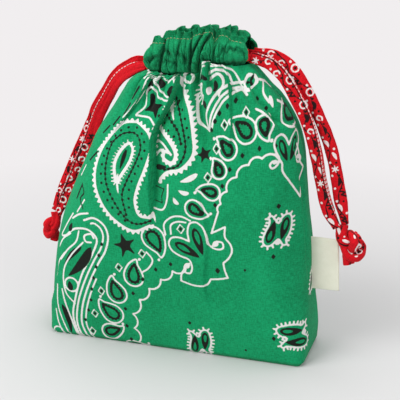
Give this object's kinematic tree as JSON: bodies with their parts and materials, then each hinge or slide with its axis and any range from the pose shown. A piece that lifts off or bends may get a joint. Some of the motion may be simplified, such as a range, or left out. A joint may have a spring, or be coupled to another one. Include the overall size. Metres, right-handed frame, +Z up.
{
  "type": "kinchaku drawstring pouch",
  "caption": "Small cotton drawstring pouch with a boxed flat bottom, gathered plain casings, a frilled top and a folded-tape drawstring tied in a knot at each side.",
  "frame": {"origin": "middle of the boxed base's underside, on the surface the pouch stands on", "axes": "+Z up to the gathered neck, -Y out of the front face, +X towards the side with the label"},
  "size_m": [0.2209, 0.0631, 0.21],
  "materials": {
    "printed_cotton": "matt",
    "plain_cotton": "matt",
    "red_cotton": "matt",
    "woven_label": "matt"
  },
  "bodies": {
    "root": {"pouch_body": "printed_cotton", "front_casing": "plain_cotton", "back_casing": "plain_cotton", "left_drawstring": "red_cotton", "right_drawstring": "red_cotton", "left_knot": "red_cotton", "right_knot": "red_cotton", "side_label": "woven_label"}
  },
  "joints": []
}
